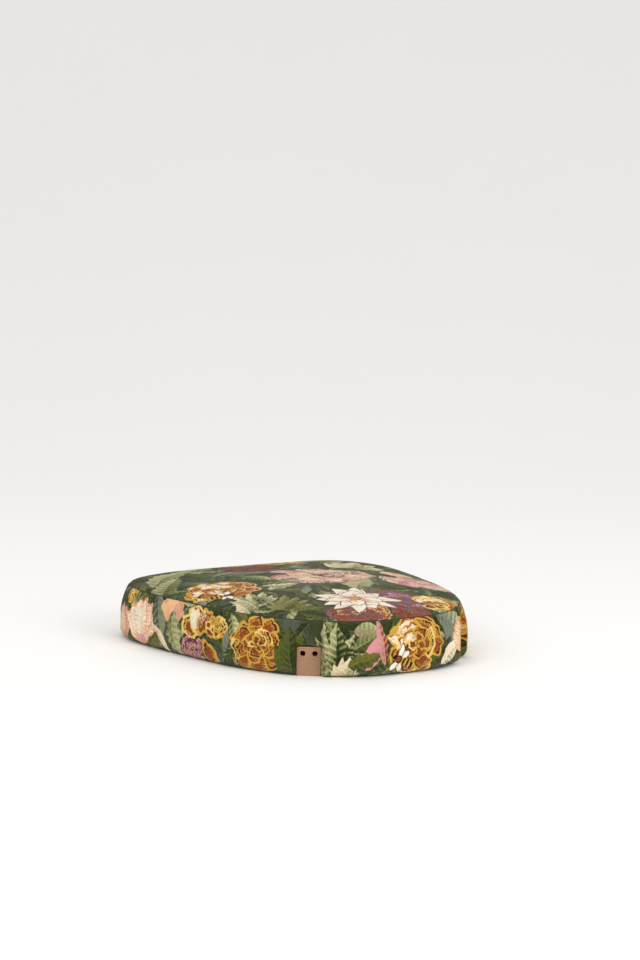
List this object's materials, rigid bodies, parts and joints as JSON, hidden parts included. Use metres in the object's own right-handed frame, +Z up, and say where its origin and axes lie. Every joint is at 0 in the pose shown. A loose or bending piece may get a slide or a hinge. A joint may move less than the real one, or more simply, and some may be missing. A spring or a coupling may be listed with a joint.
{
  "type": "chair seat pad",
  "caption": "Upholstered dining chair seat with a crowned top, soft boxed band, timber frame and two rear post slots.",
  "frame": {"origin": "centre of the underside, on the plane of the timber leg seats", "axes": "+Z up, -Y towards the front of the seat, +X towards the sitter's left"},
  "size_m": [0.4969, 0.528, 0.1016],
  "materials": {
    "tapestry": "matte",
    "dust_cloth": "matte",
    "frame_beech": "matte",
    "dowel_birch": "matte",
    "zinc": "satin",
    "webbing": "matte",
    "hessian": "matte",
    "firm_foam": "matte",
    "soft_foam": "matte",
    "fleece": "matte"
  },
  "bodies": {
    "root": {"front_rail": "frame_beech", "rear_rail": "frame_beech", "left_rail": "frame_beech", "right_rail": "frame_beech", "front_left_block": "frame_beech", "front_right_block": "frame_beech", "rear_left_block": "frame_beech", "rear_right_block": "frame_beech", "dowel_front_left_cross_low": "dowel_birch", "dowel_front_left_cross_high": "dowel_birch", "dowel_front_left_side_low": "dowel_birch", "dowel_front_left_side_high": "dowel_birch", "dowel_front_right_cross_low": "dowel_birch", "dowel_front_right_cross_high": "dowel_birch", "dowel_front_right_side_low": "dowel_birch", "dowel_front_right_side_high": "dowel_birch", "dowel_rear_left_cross_low": "dowel_birch", "dowel_rear_left_cross_high": "dowel_birch", "dowel_rear_left_side_low": "dowel_birch", "dowel_rear_left_side_high": "dowel_birch", "dowel_rear_right_cross_low": "dowel_birch", "dowel_rear_right_cross_high": "dowel_birch", "dowel_rear_right_side_low": "dowel_birch", "dowel_rear_right_side_high": "dowel_birch", "threaded_insert_front_left_1": "zinc", "threaded_insert_front_left_2": "zinc", "threaded_insert_front_right_1": "zinc", "threaded_insert_front_right_2": "zinc", "threaded_insert_rear_left_1": "zinc", "threaded_insert_rear_right_1": "zinc", "webbing_lengthwise_1": "webbing", "webbing_lengthwise_2": "webbing", "webbing_lengthwise_3": "webbing", "webbing_lengthwise_4": "webbing", "webbing_crosswise_1": "webbing", "webbing_crosswise_2": "webbing", "webbing_crosswise_3": "webbing", "webbing_crosswise_4": "webbing", "platform_cloth": "hessian", "foam_core": "firm_foam", "crown_foam": "soft_foam", "wadding_wrap": "fleece", "cover_top_panel": "tapestry", "cover_front_band": "tapestry", "cover_rear_band": "tapestry", "dust_cover": "dust_cloth"}
  },
  "joints": []
}
